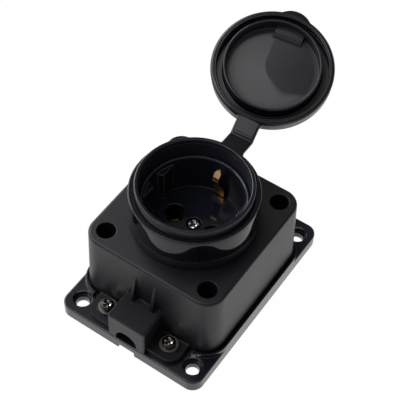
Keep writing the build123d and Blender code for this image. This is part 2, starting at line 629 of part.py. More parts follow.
def carrier():
    block = rod(2 * CARRIER_R, CARRIER_BASE_Z, CARRIER_TOP_Z)
    block -= rod(CENTRE_SHANK_D + 2 * THREAD_CLEAR, CARRIER_BASE_Z, CARRIER_TOP_Z)
    for side in (-1, 1):
        bore = CONTACT_D + 2 * CONTACT_CLEAR
        block -= rod(bore, CARRIER_BASE_Z, CARRIER_TOP_Z, side * PIN_SPACING / 2)
    gap = STRIP_WIDTH / 2 + HOLE_CLEAR
    block -= slab(gap, gap, CARRIER_BASE_Z, CARRIER_TOP_Z, 0, TERMINAL_OFFSET)
    rings = block.edges().group_by(Axis.Z)[0].filter_by(GeomType.CIRCLE)
    return chamfer(rings.sort_by(SortBy.RADIUS)[-1], CARRIER_EDGE)


def threaded_insert(outer_d, shank_d, low, high, x, y):
    """Brass insert that a screw bites into."""
    nut = rod(outer_d, low, high, x, y)
    return nut - rod(shank_d + 2 * THREAD_CLEAR, low, high, x, y)


def washer(x):
    ring = rod(WASHER_D, EAR_SEAT_Z, EAR_SEAT_Z + WASHER_T, x, EAR_SCREW_Y)
    return ring - rod(EAR_SHANK_D + HOLE_CLEAR, EAR_SEAT_Z, EAR_SEAT_Z + WASHER_T, x, EAR_SCREW_Y)


def all_pieces():
    """Every piece by its name."""
    pieces = {
        "base_plate": base_plate(),
        "housing": housing(),
        "base_gasket": gasket_ring(PLATE_T - GROOVE_DEPTH, FOOT_Z),
        "collar": collar(),
        "collar_gasket": flat_gasket(SLEEVE_R - GASKET_INSET, BOX_HEIGHT, COLLAR_BASE_Z),
        "cap_sleeve": sleeve(),
        "cap_lid": lid(),
        "socket_insert": insert(),
        "insert_gasket": flat_gasket(INSERT_FLANGE_R - GASKET_INSET, FLANGE_TOP_Z, ROOF_Z),
        "contact_carrier": carrier(),
        "earth_bracket": earth_bracket(),
        "live_contact": pin_contact(-1),
        "neutral_contact": pin_contact(1),
    }
    centre_seat = RECESS_FLOOR_Z - CENTRE_HEAD_H
    pieces["centre_screw"] = pan_screw(
        CENTRE_HEAD_D, CENTRE_HEAD_H, CENTRE_SHANK_D, centre_seat, centre_seat - CENTRE_DEPTH, 0, 0
    )
    places = {"live": (-PIN_SPACING / 2, -TERMINAL_OFFSET), "neutral": (PIN_SPACING / 2, -TERMINAL_OFFSET)}
    places["earth"] = (0, TERMINAL_OFFSET)
    for name, (x, y) in places.items():
        tip = (TERMINAL_BASE_Z + TAIL_BASE_Z - WIRE_HOLE_D) / 2
        pieces[f"{name}_terminal_screw"] = hung_screw(
            TERMINAL_HEAD_D, TERMINAL_HEAD_H, TERMINAL_SHANK_D, TERMINAL_BASE_Z, tip, x, y
        )
    for number, (sx, sy) in enumerate(FOUR_CORNERS, 1):
        x, y = sx * CORNER_X / 2, sy * CORNER_Y / 2
        low = CORNER_TUBE_Z - CORNER_ENGAGE
        pieces[f"insert_screw_{number}"] = hung_screw(
            CLAMP_HEAD_D, CLAMP_HEAD_H, CLAMP_SHANK_D, CLAMP_SEAT_Z, COLLAR_BASE_Z + CLAMP_ENGAGE,
            sx * CLAMP_SIDE, sy * CLAMP_SIDE,
        )
        pieces[f"corner_screw_{number}"] = pan_screw(
            CORNER_HEAD_D, CORNER_HEAD_H, CORNER_SHANK_D, CORNER_SEAT_Z, low, x, y
        )
        pieces[f"corner_insert_{number}"] = threaded_insert(
            INSERT_NUT_D, CORNER_SHANK_D, low, CORNER_TUBE_Z, x, y
        )
    for name, sx in (("left", -1), ("right", 1)):
        x = sx * EAR_SCREW_X / 2
        pieces[f"ear_washer_{name}"] = washer(x)
        pieces[f"ear_screw_{name}"] = pan_screw(
            EAR_HEAD_D, EAR_HEAD_H, EAR_SHANK_D, EAR_SEAT_Z + WASHER_T, EAR_NUT_FLOOR, x, EAR_SCREW_Y
        )
        pieces[f"ear_insert_{name}"] = threaded_insert(
            EAR_NUT_D, EAR_SHANK_D, EAR_NUT_FLOOR, PLATE_T, x, EAR_SCREW_Y
        )
    return pieces


def main():
    os.makedirs("parts", exist_ok=True)
    for name, piece in all_pieces().items():
        export_step(piece, f"parts/{name}.step")
    bend = hinge_frame()
    print("hinge at", tuple(bend.origin), "along", tuple(bend.x_dir))


if __name__ == "__main__":
    main()
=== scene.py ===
"""Looks, stage and camera for an outdoor weatherproof socket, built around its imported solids."""

import json
import math

import bmesh
import bpy
from bpy.props import FloatProperty, FloatVectorProperty, PointerProperty
from mathutils import Matrix, Vector


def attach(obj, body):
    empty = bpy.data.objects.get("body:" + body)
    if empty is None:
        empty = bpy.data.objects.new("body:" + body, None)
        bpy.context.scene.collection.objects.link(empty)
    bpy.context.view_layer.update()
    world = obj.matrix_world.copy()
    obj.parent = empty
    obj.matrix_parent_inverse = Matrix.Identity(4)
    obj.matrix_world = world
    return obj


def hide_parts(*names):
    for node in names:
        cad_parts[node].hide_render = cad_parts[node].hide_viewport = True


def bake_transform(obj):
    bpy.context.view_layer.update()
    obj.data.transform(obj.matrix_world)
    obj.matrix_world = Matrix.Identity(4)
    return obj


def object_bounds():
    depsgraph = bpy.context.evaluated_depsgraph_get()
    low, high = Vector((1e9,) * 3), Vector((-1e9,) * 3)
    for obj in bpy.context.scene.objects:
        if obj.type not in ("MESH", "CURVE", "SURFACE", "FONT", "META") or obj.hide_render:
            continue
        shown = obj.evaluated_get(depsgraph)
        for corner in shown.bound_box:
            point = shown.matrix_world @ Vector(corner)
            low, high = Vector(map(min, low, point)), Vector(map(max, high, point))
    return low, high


bl_info = {
    "name": "Weatherproof socket",
    "version": (1, 0, 0),
    "blender": (4, 5, 0),
    "location": "3D View > Sidebar > Socket",
    "description": "Builds the rubber cap and dresses the shell, screws and contacts of an outdoor socket",
    "category": "Object",
}

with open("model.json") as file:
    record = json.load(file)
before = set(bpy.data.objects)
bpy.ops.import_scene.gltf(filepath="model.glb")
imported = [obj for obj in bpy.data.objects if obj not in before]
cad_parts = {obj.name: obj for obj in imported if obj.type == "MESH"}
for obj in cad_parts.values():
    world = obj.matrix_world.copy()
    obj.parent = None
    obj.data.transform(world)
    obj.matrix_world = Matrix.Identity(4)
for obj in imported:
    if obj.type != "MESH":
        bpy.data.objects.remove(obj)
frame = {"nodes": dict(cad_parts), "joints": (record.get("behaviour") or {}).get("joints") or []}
CAD_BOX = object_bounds()
NODES = frame["nodes"]
HINGE = frame["joints"][0]
HINGE_POINT = Vector(HINGE["pos_m"])
HINGE_AXIS = Vector(HINGE["axis"]).normalized()
SHUT_TURN = math.radians(HINGE["range_deg"][1])
MM = 0.001
UP = Vector((0.0, 0.0, 1.0))
SHINE = 1.42
SEGMENTS = 224

# Farther, in metres, than any point of the part
FAR = 1.0

# Middle of a piece's box, in shares of the box
BOX_MIDDLE = (0.5, 0.5, 0.5)

# Middle of a contact's mouth in shares of its box, the way to its near side in millimetres a share,
# and the distance at which the painted glint on the near side begins
MOUTH_MIDDLE = (0.5, 0.774, 0.0)
NEAR_WAY = (3.83, -12.97, 0.0)
NEAR_START = 2.6

# Radius and sink of the lid's inner floor, in millimetres
FLOOR_CROWN = ((0.0, 0.12), (9.0, 0.1), (17.0, 0.02))

# Height over the skirt's end and inset of the skirt's outer face, in millimetres
SKIRT_FACE = ((1.2, 0.02), (2.0, 0.06), (2.7, 0.1), (3.6, 0.15))

# Depths of the sleeve's rings under its top, in millimetres
SLEEVE_RINGS = (6.0, 5.0, 4.0, 2.5)


def length(label, note, default_mm):
    """A size property in metres, written in millimetres."""
    return FloatProperty(name=label, description=note, default=default_mm * MM, unit="LENGTH", precision=5)


def share(label, note, default):
    """A property between nought and one."""
    return FloatProperty(name=label, description=note, default=default, min=0.0, max=1.0, subtype="FACTOR")


def turn(label, note, default_degrees):
    """An angle property, written in degrees."""
    return FloatProperty(name=label, description=note, default=math.radians(default_degrees), subtype="ANGLE")


def number(label, note, default):
    """A plain number property."""
    return FloatProperty(name=label, description=note, default=default, precision=5)


def tint(label, note, default):
    """A linear colour property."""
    return FloatVectorProperty(
        name=label, description=note, default=default, min=0.0, max=1.0, subtype="COLOR"
    )


class LidSizes(bpy.types.PropertyGroup):
    """Sizes of the rubber lid, as it sits shut on the collar."""
    skirt_r: length("Skirt radius", "Outer radius of the skirt", 25.95)
    skirt_bore: length("Skirt bore", "Inner radius of the skirt", 24.45)
    skirt_end: length("Skirt end", "Height of the skirt's open end when shut", 58.45)
    seal_r: length("Seal radius", "Outer radius of the seal ring", 20.6)
    seal_bore: length("Seal bore", "Inner radius of the seal ring", 19.5)
    seal_end: length("Seal end", "Height of the seal ring's open end when shut", 56.05)
    channel: length("Channel", "Height of the channel's bottom between seal and skirt", 62.65)
    floor: length("Floor", "Height of the inner floor when shut", 62.1)
    top: length("Top", "Height of the outer face when shut", 66.65)
    wall_draft: length("Wall draft", "How much the channel narrows towards its bottom on each side", 0.1)
    top_inset: length("Top inset", "How much narrower the outer face is than the skirt", 0.4)
    top_ring: length("Top ring", "Radius of the ring of points on the outer face", 16.0)
    tab_reach: length("Tab reach", "How far the grip tab stands out", 1.83)
    tab_r: length("Tab radius", "Radius of the grip tab's round end", 9.0)
    tab_height: length("Tab height", "Height of the grip tab over the skirt's end", 1.9)
    tab_fade: length("Tab fade", "Distance over which the grip tab dies away into the skirt", 0.9)
    tab_place: turn("Tab place", "Where the grip tab stands on the shut lid", -88.4)
    bead_bore: length("Bead bore", "Inner radius of the bead that snaps under the lip", 23.35)
    bead_top: length("Bead top", "Height of the bead's upper side when shut", 59.7)
    bead_step: length("Bead step", "How far the bead ends short of the skirt's end", 0.03)
    bead_rise: length("Bead rise", "Width of the rise from the bead to the skirt's end", 0.05)
    line_inset: length("Line inset", "Distance of the end's fine line from the bead bore", 0.75)
    line_half: length("Line half width", "Half the width of the end's fine line", 0.12)
    line_depth: length("Line depth", "Depth of the end's fine line", 0.09)
    pad_length: length("Pad length", "Length of the pad inside the lid", 12.9)
    pad_front: length("Pad front", "Distance of the pad's straight edge from the middle", 14.3)
    pad_height: length("Pad height", "Height of the pad over the inner floor", 2.2)
    pad_shift: length("Pad shift", "Sideways place of the pad", 0.85)
    pad_round: length("Pad rounding", "Rounding of the pad's free edge", 1.6)
    pad_sunk: length("Pad sunk", "How far the pad reaches into the floor", 0.25)
    pad_end_round: length("Pad end rounding", "Rounding of the pad's two ends", 0.3)
    # The five sizes below place a painted reflection, a pale patch on the lid's inner floor around a clear
    # zone.
    sheen_x: length("Bloom middle across", "Middle of the clear zone inside the bloom, across", 8.4)
    sheen_y: length("Bloom middle along", "Middle of the clear zone inside the bloom, along", -3.8)
    sheen_r: length("Bloom border", "Radius of the clear zone inside the bloom", 13.7)
    sheen_reach: length("Bloom reach", "Radius up to which the bloom is full", 15.2)
    sheen_fade: length("Bloom fade", "Distance over which the bloom dies away outwards", 5.2)


class SleeveSizes(bpy.types.PropertyGroup):
    """Sizes of the rubber sleeve and its strap."""
    radius: length("Radius", "Outer radius of the sleeve", 26.4)
    bore: length("Bore", "Inner radius of the sleeve", 23.75)
    base: length("Base", "Height of the seam under the sleeve", 46.3)
    top: length("Top", "Height of the sleeve's top", 58.1)
    draft: length("Draft", "How much wider the sleeve is at its base", 0.36)
    foot: length("Foot", "Height of the straight foot", 0.5)
    bump_reach: length("Bump reach", "How far the side lobe stands out", 2.35)
    bump_r: length("Bump radius", "Radius of the side lobe", 6.2)
    bump_place: turn("Bump place", "Where the side lobe stands on the sleeve", 138.0)
    bump_drop: length("Bump drop", "How far the side lobe reaches down from the top", 5.0)
    bump_fade: length("Bump fade", "Distance over which the side lobe dies away", 0.8)
    bump_skin: length("Bump skin", "Wall inside which the side lobe has no part", 1.2)
    strap_width: length("Strap width", "Width of the strap", 10.3)
    strap_thickness: length("Strap thickness", "Thickness of the strap", 2.0)
    strap_drop: length("Strap drop", "Depth of the strap's middle under the bend line", 1.175)
    sunk_in_sleeve: length("Sunk in sleeve", "How far the strap reaches into the sleeve", 0.7)
    sunk_in_lid: length("Sunk in lid", "How far the strap reaches into the lid", 0.55)
    bend_half: length("Bend half length", "Half the length of strap that takes the bend", 0.9)
    blend_half: length("Blend half length", "Half the length of strap shared by both bodies", 1.6)
    flare: length("Flare", "How much each side of the strap widens at its roots", 0.5)
    flare_length: length("Flare length", "Length of the widening at each root", 2.2)


class Finishes(bpy.types.PropertyGroup):
    """Colours and roughness of the finishes."""
    shell: tint("Shell", "Moulded shell colour", (0.0042, 0.0043, 0.0066))
    shell_roughness: share("Shell roughness", "Roughness of the grained shell", 0.42)
    gloss_roughness: share("Gloss roughness", "Roughness of the smooth mouldings", 0.11)
    gloss: tint("Gloss", "Colour of the smooth mouldings", (0.0048, 0.0053, 0.0085))
    rubber: tint("Rubber", "Rubber colour", (0.0042, 0.0044, 0.0072))
    rubber_roughness: share("Rubber roughness", "Roughness of the rubber", 0.22)
    # The colour below is a painted reflection: the pale patch on the lid's inner floor and the pad's front.
    bloom: tint("Bloom", "Colour of the dry bloom inside the lid", (0.062, 0.062, 0.065))
    recess: tint("Recess", "Colour of the smooth recess", (0.0070, 0.0080, 0.0135))
    steel: tint("Plated steel", "Screw colour", (0.33, 0.315, 0.30))
    brass: tint("Brass", "Contact colour", (0.78, 0.52, 0.2))
    # The colour below tints the painted shade and painted warm light on low brass.
    warm_brass: tint("Warm brass", "Colour of a clip under its finger", (0.85, 0.40, 0.07))


class FinishAndLightPlaces(bpy.types.PropertyGroup):
    """Places at which a finish changes, and at which painted light, shade and highlights begin or end."""
    block_back: length("Block back", "Where the coarse top of the cable block ends", -36.2)
    # Walls above the height below are painted paler, as painted light.
    neck_foot: length("Neck foot", "Height above which the collar's walls are paler", 49.0)
    # The height below is that of a painted highlight line along the lip's lower edge.
    parting: length("Parting line", "Height of the collar's parting line", 60.0)
    # Between the two heights below, the guide pads' wall edges carry a painted highlight.
    pads_foot: length("Guide pad foot", "Height at which the worn edges of the guide pads begin", 37.5)
    pads_top: length("Guide pad top", "Height at which the worn edges of the guide pads end", 51.5)
    # The two heights below bound the painted shade and the painted warm light on brass.
    finger_foot: length("Finger foot", "Height under which a clip is dark", 47.2)
    clip_glow: length("Clip glow", "Height under which a clip turns warm", 40.5)


class StageSettings(bpy.types.PropertyGroup):
    """Camera, floor and light."""
    distance: length("Distance", "Camera distance from its target", 459.616)
    target: length("Target height", "Height of the camera's target", 51.776)
    azimuth: turn("Azimuth", "Camera turn about Z", 33.130)
    elevation: turn("Elevation", "Camera height angle", 52.132)
    roll: turn("Roll", "Camera roll", 1.820)
    sensor: number("Sensor", "Width of the picture plane in millimetres", 36.0)
    lens: number("Lens", "Focal length in millimetres", 104.197)
    shift_x: number("Shift across", "Sideways picture shift, as a share of the width", 0.01407)
    shift_y: number("Shift up", "Upward picture shift, as a share of the width", -0.00104)
    sky: share("Sky level", "Brightness of the surround", 0.34)
    floor_glow: share("Floor glow", "Share of plain white in the floor", 0.99)
    floor_half: length("Floor half width", "Half the width of the floor", 3000.0)
    floor_gap: length("Floor gap", "Gap between the part and the floor", 0.2)


class Wire:
    """An output socket that can be used in sums and products."""

    def __init__(self, finish, socket):
        self.finish = finish
        self.socket = socket

    def math(self, operation, *values):
        return self.finish.node("ShaderNodeMath", {"operation": operation}, dict(enumerate(values)))

    def __add__(self, other):
        return self.math("ADD", self, other)

    __radd__ = __add__

    def __sub__(self, other):
        return self.math("SUBTRACT", self, other)

    def __rsub__(self, other):
        return self.math("SUBTRACT", other, self)

    def __mul__(self, other):
        return self.math("MULTIPLY", self, other)

    def __truediv__(self, other):
        return self.math("DIVIDE", self, other)

    def __pow__(self, other):
        return self.math("POWER", self, other)

    def limit(self):
        return self.finish.node("ShaderNodeClamp", {}, {"Value": self})


class Finish:
    """A procedural material, written as expressions on its nodes."""

    def __init__(self, name):
        self.material = bpy.data.materials.new(name)
        self.material.use_nodes = True
        self.tree = self.material.node_tree
        self.tree.nodes.clear()

    def node(self, kind, settings, sockets, output=0):
        """Adds a node, sets its settings, then its sockets, and returns one of its outputs."""
        made = self.tree.nodes.new(kind)
        for key, value in settings.items():
            if key == "stops":
                ramp = made.color_ramp.elements
                while len(ramp) < len(value):
                    ramp.new(0.5)
                for element, (place, level) in zip(ramp, value):
                    element.position = place
                    element.color = (level, level, level, 1.0)
            else:
                setattr(made, key, value)
        for key, value in sockets.items():
            if isinstance(value, Wire):
                self.tree.links.new(value.socket, made.inputs[key])
            else:
                made.inputs[key].default_value = value
        return Wire(self, made.outputs[output]) if made.outputs else None

    def place(self, kind="Object"):
        return self.node("ShaderNodeTexCoord", {}, {}, kind)

    def noise(self, vector, scale, detail=2.0, roughness=0.5):
        sockets = {"Vector": vector, "Scale": scale, "Detail": detail, "Roughness": roughness}
        return self.node("ShaderNodeTexNoise", {}, sockets)

    def ramp(self, value, stops):
        return self.node("ShaderNodeValToRGB", {"stops": stops}, {"Fac": value})

    def mix(self, factor, low, high):
        """Mixes two colours."""
        sockets = {0: factor, 6: low, 7: high}
        return self.node("ShaderNodeMix", {"data_type": "RGBA"}, sockets, 2)

    def vector(self, operation, a, b, output=0):
        return self.node("ShaderNodeVectorMath", {"operation": operation}, {0: a, 1: b}, output)

    def rounded(self, radius):
        """The surface direction as it would be with rounded edges."""
        return self.node("ShaderNodeBevel", {"samples": 6}, {"Radius": radius})

    def edge(self, radius):
        """Nought on flat faces, rising towards one on edges."""
        soft = self.rounded(radius)
        plain = self.node("ShaderNodeNewGeometry", {}, {}, "Normal")
        return ((1.0 - self.vector("DOT_PRODUCT", soft, plain, "Value")) * 6.0).limit()

    def facing(self, axis):
        """One where the piece's own surface faces along an axis, nought where it faces away."""
        return self.vector("DOT_PRODUCT", self.place("Normal"), axis, "Value") * 0.5 + 0.5

    def split(self, vector):
        """The three numbers of a vector."""
        return [self.node("ShaderNodeSeparateXYZ", {}, {"Vector": vector}, axis) for axis in ("X", "Y", "Z")]

    def between(self, value, low, high, soft):
        """One between two levels, falling to nought over a soft distance outside them."""
        return ((value - (low - soft)) / soft).limit() * (((high + soft) - value) / soft).limit()

    def band(self, height, half_width, breaks):
        """One on a thin level line at a height, broken up where the breaks are low."""
        line = self.between(self.split(self.place())[2], height, height, half_width)
        return line * self.ramp(breaks, [(0.36, 0.15), (0.6, 1.0)])

    def bump(self, height, strength, distance, normal=None):
        sockets = {"Height": height, "Strength": strength, "Distance": distance}
        if normal is not None:
            sockets["Normal"] = normal
        return self.node("ShaderNodeBump", {}, sockets)

    def surface(self, constants, linked):
        """Ends the material in one principled shader."""
        base = {"Specular Tint": (0.97, 0.96, 0.99, 1.0), "IOR": SHINE}
        shader = self.node("ShaderNodeBsdfPrincipled", {}, {**base, **constants, **linked})
        self.node("ShaderNodeOutputMaterial", {}, {"Surface": shader})
        return self.material


def flat(colour):
    return (*colour, 1.0)


def lift(colour, gain, add=0.0):
    """A colour multiplied and raised, for a paler or darker shade of the same finish."""
    return tuple(min(1.0, c * gain + add) for c in colour) + (1.0,)


def shell_finish(looks, places):
    """Fine matte moulding grain with polished edges, painted paler as wear and as a painted highlight, and
    cloudy tone; coarser on top of the cable block.
    """
    f = Finish("matte_shell_grain")
    where = f.place()
    grain = f.noise(where, 2300.0, 2.0, 0.6)
    cloud = f.noise(where, 55.0, 3.0)
    edge = f.edge(0.7 * MM)
    tone = f.mix(f.ramp(cloud, [(0.3, 0.0), (0.72, 1.0)]), lift(looks.shell, 0.86), lift(looks.shell, 1.18))
    # Edges painted paler: partly wear, partly a painted highlight.
    tone = f.mix(edge * 0.35, tone, lift(looks.shell, 2.0, 0.004))
    up = f.ramp(f.facing(UP), [(0.8, 0.0), (0.95, 1.0)])
    coarse = f.between(f.split(where)[1], -FAR, places.block_back, 1.5 * MM) * up
    rough = looks.shell_roughness + coarse * 0.45 + (grain - 0.5) * 0.18 + (cloud - 0.5) * 0.1 - edge * 0.06
    normal = f.bump(grain, 0.4, 0.07 * MM, f.rounded(0.6 * MM))
    return f.surface({}, {"Base Color": tone, "Roughness": rough, "Normal": normal})


def gloss_finish(looks, name, colour, dullness, wall_dullness, shine=SHINE, neck=None, worn=None):
    """Smooth moulded plastic with faint flow marks, edges painted pale as a painted highlight, and duller
    walls.

    neck is the height above which walls are painted paler, as painted light, and that of a painted highlight
    line along the lip's lower edge;
    the last argument is the lowest and highest height of wall edges painted pale, as a painted highlight.
    """
    f = Finish(name)
    where = f.place()
    flow = f.noise(where, 120.0, 2.0)
    stretched = f.vector("MULTIPLY", where, (260.0, 260.0, 40.0))
    fine = f.noise(stretched, 14.0, 2.0, 0.65)
    edge = f.edge(0.5 * MM)
    tone = f.mix(f.ramp(flow, [(0.3, 0.0), (0.7, 1.0)]), lift(colour, 0.85), lift(colour, 1.15))
    # Painted highlight: edges are painted paler, as light caught by rounded edges.
    tone = f.mix(edge * 0.5, tone, lift(colour, 3.0, 0.03))
    wall = f.ramp(f.facing(UP), [(0.6, 1.0), (0.95, 0.0)])
    if worn is not None:
        # Painted highlight: the guide pads' wall edges are painted pale between the two heights.
        glint = edge * wall * f.between(f.split(where)[2], *worn, 0.5 * MM)
        tone = f.mix(glint, tone, lift(colour, 3.0, 0.25))
    if neck is not None:
        foot, parting = neck
        # Painted light: walls above the neck's foot are painted paler.
        above = f.between(f.split(where)[2], foot, FAR, 1.0 * MM)
        tone = f.mix(wall * above * 0.8, tone, lift(colour, 2.6))
        # Painted highlight: a pale broken line along the lip's lower edge.
        tone = f.mix(f.band(parting, 0.4 * MM, fine), tone, lift(colour, 4.0, 0.04))
    rough = looks.gloss_roughness + dullness + wall * wall_dullness
    rough = rough + (fine - 0.5) * 0.08 + (flow - 0.5) * 0.06
    normal = f.bump(flow, 0.06, 0.2 * MM, f.rounded(0.5 * MM))
    return f.surface({"IOR": shine}, {"Base Color": tone, "Roughness": rough, "Normal": normal})


def sheen_border(f, s, shut, x, y):
    """Distance from the middle of the clear zone inside the lid's painted sheen, wavering a little and flat
    at its lower left.
    """
    across, along = x - s.sheen_x, y - s.sheen_y
    across = across.math("MAXIMUM", across * -1.0, across * 0.8)
    along = along.math("MAXIMUM", along, along * -0.3)
    power = 1.5
    waver = (f.noise(shut, 95.0, 0.0) - 0.5) * (3.0 * MM)
    return (across ** power + along ** power) ** (1 / power) + waver


def lid_zones(f, s):
    """The lid's painted sheen, a painted reflection on the inner floor that ends at a curved border and also
    covers the pad's front, and the seal's inner wall.
    """
    sockets = {"Vector": f.place(), "Center": HINGE_POINT, "Axis": HINGE_AXIS, "Angle": SHUT_TURN}
    shut = f.node("ShaderNodeVectorRotate", {"rotation_type": "AXIS_ANGLE"}, sockets)
    x, y, z = f.split(shut)
    radius = (x * x + y * y) ** 0.5
    border = sheen_border(f, s, shut, x, y)
    soft = ((y - 2.0 * MM) / (6.0 * MM)).limit() * (3.0 * MM) + 0.6 * MM
    # Painted reflection on the inner floor, full out to a radius and cut off at a curved border.
    painted_sheen = f.between(radius, 0.0, s.sheen_reach, s.sheen_fade)
    painted_sheen = painted_sheen * f.between(z, s.floor - 0.4 * MM, s.floor + 0.4 * MM, 0.2 * MM)
    painted_sheen = painted_sheen * f.between(border, s.sheen_r, FAR, soft) * ((y + 34.0 * MM) / (37.0 * MM)).limit()
    wall = f.between(radius, s.seal_bore - 1.0 * MM, s.seal_bore + 0.2 * MM, 0.3 * MM)
    wall = wall * f.between(z, s.seal_end + 0.15 * MM, s.floor + 0.2 * MM, 0.3 * MM)
    # The pad's front is painted lighter towards the floor, as a painted reflection.
    pad_half = s.pad_length / 2 - 0.1 * MM
    pad_back = s.pad_front + s.pad_round + 0.1 * MM
    pad_top = s.floor - s.pad_height
    pad = f.between(y, -pad_back, 0.2 * MM - s.pad_front, 0.1 * MM)
    pad = pad * f.between(x, s.pad_shift - pad_half, s.pad_shift + pad_half, 0.2 * MM)
    pad = pad * ((z - (pad_top - 0.1 * MM)) / (1.0 * MM)).limit()
    pad = pad * f.between(z, pad_top - 0.9 * MM, s.floor + 0.1 * MM, 0.1 * MM)
    return painted_sheen.math("MAXIMUM", painted_sheen, pad * 0.8), wall


def rubber_finish(looks, name, roughness, bloom, highlight_lines=(), shine=SHINE, lid=None):
    """Satin rubber with a faint bloom and painted highlight lines on edges; the lid's also gets a painted
    sheen and is duller on its outside.
    """
    f = Finish(name)
    where = f.place()
    cloud = f.noise(where, 75.0, 4.0, 0.55)
    skin = f.noise(where, 2400.0, 2.0)
    dust = f.ramp(cloud, [(0.42, 0.0), (0.78, 1.0)])
    edge = f.edge(0.5 * MM)
    tone = f.mix(dust * bloom, flat(looks.rubber), lift(looks.rubber, 1.9, 0.002))
    # Edges painted paler: partly wear, partly a painted highlight.
    tone = f.mix(edge * 0.25, tone, lift(looks.rubber, 2.2, 0.004))
    flecks = f.noise(where, 700.0, 2.0)
    # Each listed line is a painted highlight, a pale broken line where an edge catches the light.
    for height, half_width, strength in highlight_lines:
        tone = f.mix(f.band(height, half_width, flecks) * strength, tone, lift(looks.rubber, 4.0, 0.035))
    rough = roughness + ((cloud - 0.5) * 0.5 + (skin - 0.5) * 0.2) * roughness
    if lid is not None:
        painted_sheen, wall = lid_zones(f, lid)
        tone = f.mix(wall * 0.3, tone, lift(looks.rubber, 3.0, 0.012))
        # Painted reflection: the pale patch on the inner floor and the pad's front.
        tone = f.mix(painted_sheen, tone, flat(looks.bloom))
        inside = open_turn().to_3x3() @ Vector((0.0, 0.0, -1.0))
        rough = rough + wall * 0.2 + f.ramp(f.facing(inside), [(0.3, 0.3), (0.62, 0.0)])
    normal = f.bump(skin, 0.05, 0.04 * MM)
    return f.surface({"IOR": shine}, {"Base Color": tone, "Roughness": rough, "Normal": normal})


def turned_rings(f, density):
    """Fine rings about the middle of a turned piece."""
    spot = f.vector("SUBTRACT", f.place("Generated"), BOX_MIDDLE)
    radius = f.vector("LENGTH", f.vector("MULTIPLY", spot, (1.0, 1.0, 0.0)), (0.0, 0.0, 0.0), "Value")
    line = f.node("ShaderNodeCombineXYZ", {}, {"X": radius * density})
    return f.noise(line, 1.0, 2.0)


def cross_glints(f, reach):
    """One on the four corners beside a screw head's cross, where painted highlights go, nought elsewhere, in
    shares of its box.
    """
    cross_turn, slot_half = 0.35, 0.11
    head_foot, head_top = 0.35, 1.0
    spot = f.vector("SUBTRACT", f.place("Generated"), BOX_MIDDLE)
    sockets = {"Vector": spot, "Angle": cross_turn}
    turned = f.node("ShaderNodeVectorRotate", {"rotation_type": "Z_AXIS"}, sockets)
    x, y, z = f.split(turned)
    corners = [f.between(line.math("ABSOLUTE", line), slot_half, reach, 0.04) for line in (x, y)]
    return corners[0] * corners[1] * f.between(z, head_foot, head_top, 0.05)


def steel_finish(looks, name, level, roughness, cross_glint_reach):
    """Plated steel with turned rings and dull spots; a head with a cross is painted dark as painted shade,
    with painted highlights beside the cross.
    """
    f = Finish(name)
    where = f.place()
    rings = turned_rings(f, 24.0)
    spots = f.noise(where, 350.0, 2.0)
    dull = f.ramp(spots, [(0.5, 0.0), (0.9, 0.8)])
    tone = f.mix(dull, lift(looks.steel, level), lift(looks.steel, level * 0.72))
    if cross_glint_reach:
        # Painted shade on the head, with painted highlights on the four corners beside the cross.
        tone = f.mix(cross_glints(f, cross_glint_reach), lift(looks.steel, 0.12), lift(looks.steel, 2.7))
    rough = roughness + rings * 0.06 + dull * 0.06
    normal = f.bump(rings, 0.03, 0.02 * MM)
    bare = {"Metallic": 1.0, "Specular Tint": (1.0, 1.0, 1.0, 1.0)}
    return f.surface(bare, {"Base Color": tone, "Roughness": rough, "Normal": normal})


def brass_finish(looks, places):
    """Stamped brass with tarnish in patches and rolled grain; below a clip's finger it is painted dark as
    painted shade, with painted warm light towards the bottom right.
    """
    f = Finish("brass_stamped")
    where = f.place()
    patches = f.noise(where, 420.0, 3.0)
    grain = f.noise(f.vector("MULTIPLY", where, (3000.0, 3000.0, 260.0)), 1.0, 2.0)
    tarnish = f.ramp(patches, [(0.45, 0.0), (0.8, 1.0)])
    x, _, z = f.split(where)
    # Below the finger's foot, brass is painted dark as painted shade, turning to painted warm light towards
    # the bottom and the right.
    body = f.between(z, 0.0, places.finger_foot, 0.5 * MM)
    low = ((places.clip_glow - z) / (4.5 * MM)).limit()
    right = ((x + 0.5 * MM) / (2.2 * MM)).limit()
    far_right = f.between(x, 1.8 * MM, FAR, 0.8 * MM)
    warm = f.mix(low * right, lift(looks.warm_brass, 0.07), lift(looks.warm_brass, 0.9))
    warm = f.mix(low * far_right, warm, flat(looks.warm_brass))
    tone = f.mix(tarnish, lift(looks.brass, 1.3, 0.04), lift(looks.brass, 0.75))
    tone = f.mix(body, tone, warm)
    rough = 0.2 + grain * 0.12 + tarnish * 0.16
    normal = f.bump(grain, 0.06, 0.04 * MM)
    return f.surface({"Metallic": 1.0}, {"Base Color": tone, "Roughness": rough, "Normal": normal})


def contact_finish(looks):
    """Brass painted near black in patches, as painted shade inside its hole, with a painted glint on the near
    side of its bevelled mouth.
    """
    f = Finish("brass_painted_shade_and_glint")
    where = f.place()
    patches = f.noise(where, 700.0, 3.0)
    bevel = f.ramp(f.facing(UP), [(0.74, 0.0), (0.8, 1.0), (0.9, 1.0), (0.95, 0.0)])
    # Painted shade: the brass is painted near black, varying in patches.
    dark = f.mix(patches, lift(looks.brass, 0.02), lift(looks.brass, 0.06))
    mouth = f.vector("SUBTRACT", f.place("Generated"), MOUTH_MIDDLE)
    near = f.vector("DOT_PRODUCT", mouth, NEAR_WAY, "Value")
    # Painted glint on the near side of the bevelled mouth.
    glint = bevel * ((near - NEAR_START) * 2.5).limit()
    tone = f.mix(glint, dark, flat(looks.brass))
    rough = 0.32 - glint * 0.14 + (patches - 0.5) * 0.12
    normal = f.bump(patches, 0.08, 0.04 * MM)
    return f.surface({"Metallic": 1.0}, {"Base Color": tone, "Roughness": rough, "Normal": normal})


